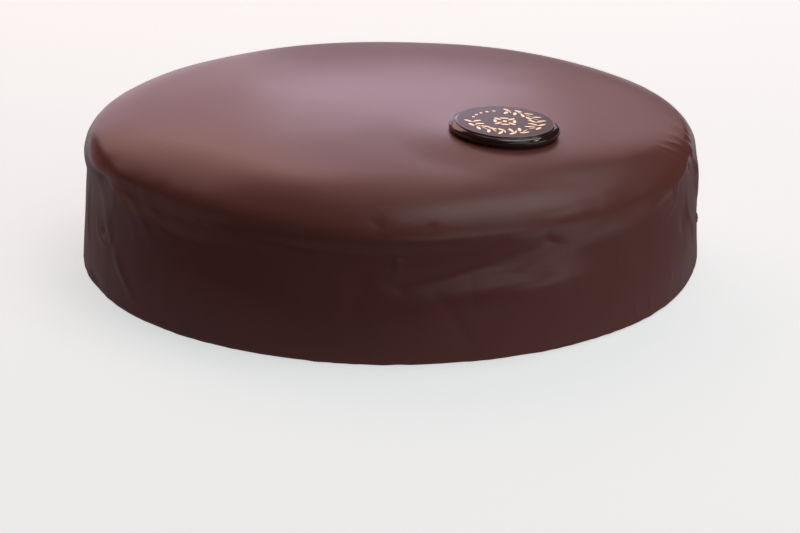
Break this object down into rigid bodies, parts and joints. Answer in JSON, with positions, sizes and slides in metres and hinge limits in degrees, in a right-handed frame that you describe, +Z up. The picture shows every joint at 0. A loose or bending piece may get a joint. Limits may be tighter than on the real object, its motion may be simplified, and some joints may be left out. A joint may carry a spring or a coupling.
{
  "type": "sachertorte",
  "caption": "Whole round chocolate torte under a poured satin chocolate glaze with soft folds on its side, topped by a flat moulded chocolate seal.",
  "frame": {"origin": "the middle of the flat underside, on the surface the cake stands on", "axes": "+Z up through the middle of the top; -Y is the cake's front, and the seal lies towards +X and -Y of the middle"},
  "size_m": [0.2447, 0.2449, 0.0682],
  "materials": {
    "glaze": "satin poured chocolate glaze",
    "seal_chocolate": "glossy tempered dark chocolate",
    "gold_print": "pale gold cocoa butter print on the seal"
  },
  "bodies": {
    "root": {"cake": "glaze", "seal": "seal_chocolate"}
  },
  "joints": []
}
